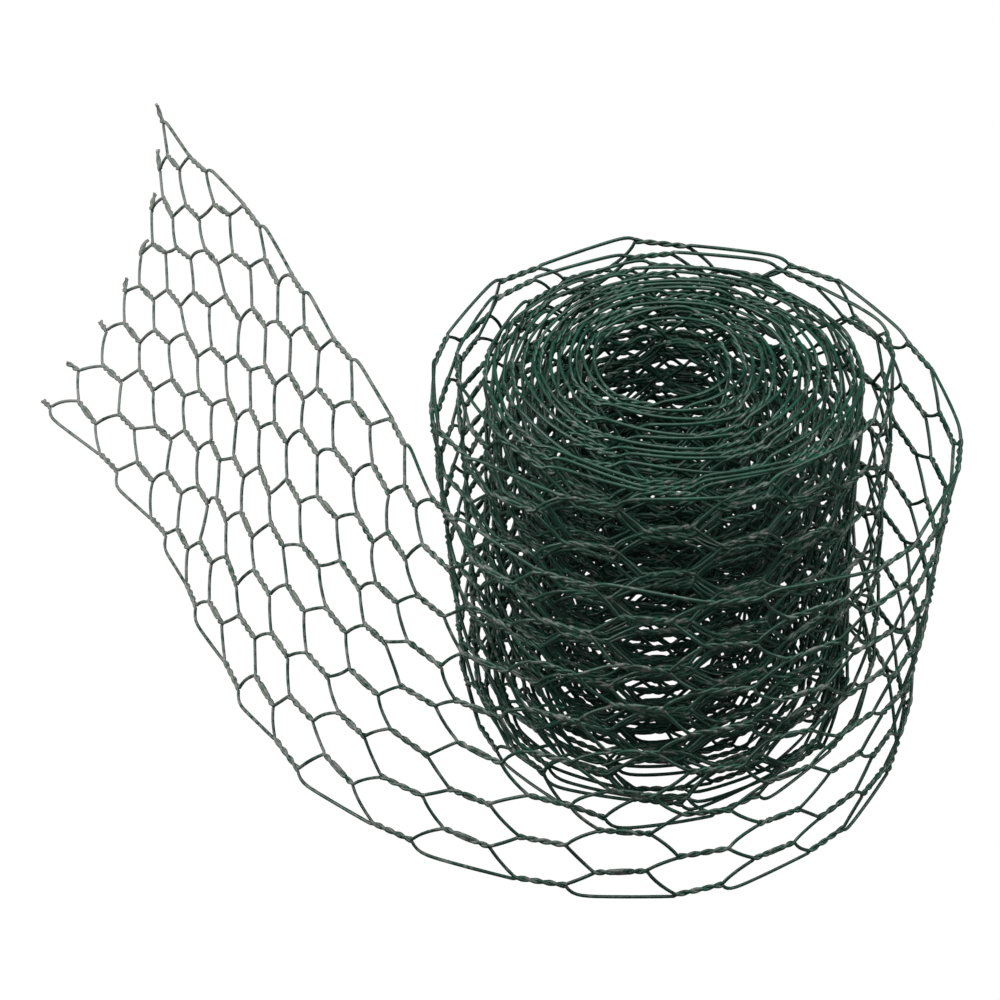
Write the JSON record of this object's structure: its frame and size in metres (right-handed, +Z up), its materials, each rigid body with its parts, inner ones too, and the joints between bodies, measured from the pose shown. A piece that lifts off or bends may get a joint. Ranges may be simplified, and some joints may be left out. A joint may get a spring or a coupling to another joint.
{
  "type": "roll of hexagonal wire netting",
  "caption": "Standing roll of green plastic-coated chicken wire with an open bore, a loose outer turn and a tail that sweeps off to a cut end.",
  "frame": {"origin": "on the bore's axis, at the surface that the roll stands on", "axes": "+Z up along the bore; the loose outer turn bulges towards -Y and the tail leaves the roll on the -X side and sweeps back towards +Y"},
  "size_m": [0.2382, 0.2291, 0.095],
  "materials": {
    "coated_wire": "semi-gloss dark green plastic coating over thin steel wire"
  },
  "bodies": {
    "root": {"netting_roll": "coated_wire"}
  },
  "joints": []
}
